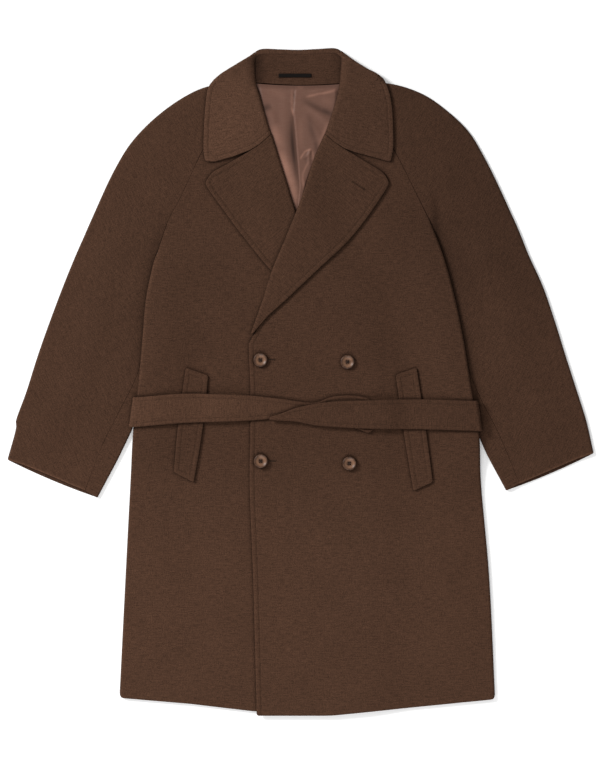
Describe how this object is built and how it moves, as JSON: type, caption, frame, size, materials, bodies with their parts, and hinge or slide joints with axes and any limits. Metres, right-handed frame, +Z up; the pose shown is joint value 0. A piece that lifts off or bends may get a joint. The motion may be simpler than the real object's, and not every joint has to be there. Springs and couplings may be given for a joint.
{
  "type": "double-breasted coat",
  "caption": "Double-breasted wool coat with notched lapels, raglan sleeves, slanted pockets and a crossed belt, laid flat with its fronts up.",
  "frame": {"origin": "on the surface that the coat lies on, under the middle of its outline", "axes": "+X towards the wearer's left sleeve, +Y from the hem to the collar, +Z up out of the surface, towards the fronts"},
  "size_m": [0.9983, 1.1367, 0.0274],
  "materials": {
    "wool_melton": "brown wool melton, fulled and softly brushed",
    "lining_satin": "taupe satin lining, soft sheen",
    "label_tape": "black woven tape, bare",
    "horn": "mottled dark brown horn, polished low"
  },
  "bodies": {
    "root": {"back": "wool_melton", "back_lining": "lining_satin", "right_front": "wool_melton", "left_front": "wool_melton", "right_lapel": "wool_melton", "left_lapel": "wool_melton", "collar": "wool_melton", "collar_stand": "wool_melton", "label": "label_tape", "right_sleeve_front": "wool_melton", "right_sleeve_back": "wool_melton", "left_sleeve_front": "wool_melton", "left_sleeve_back": "wool_melton", "right_pocket_welt": "wool_melton", "left_pocket_welt": "wool_melton", "belt": "wool_melton", "button_1": "horn", "button_2": "horn", "button_3": "horn", "button_4": "horn"}
  },
  "joints": []
}
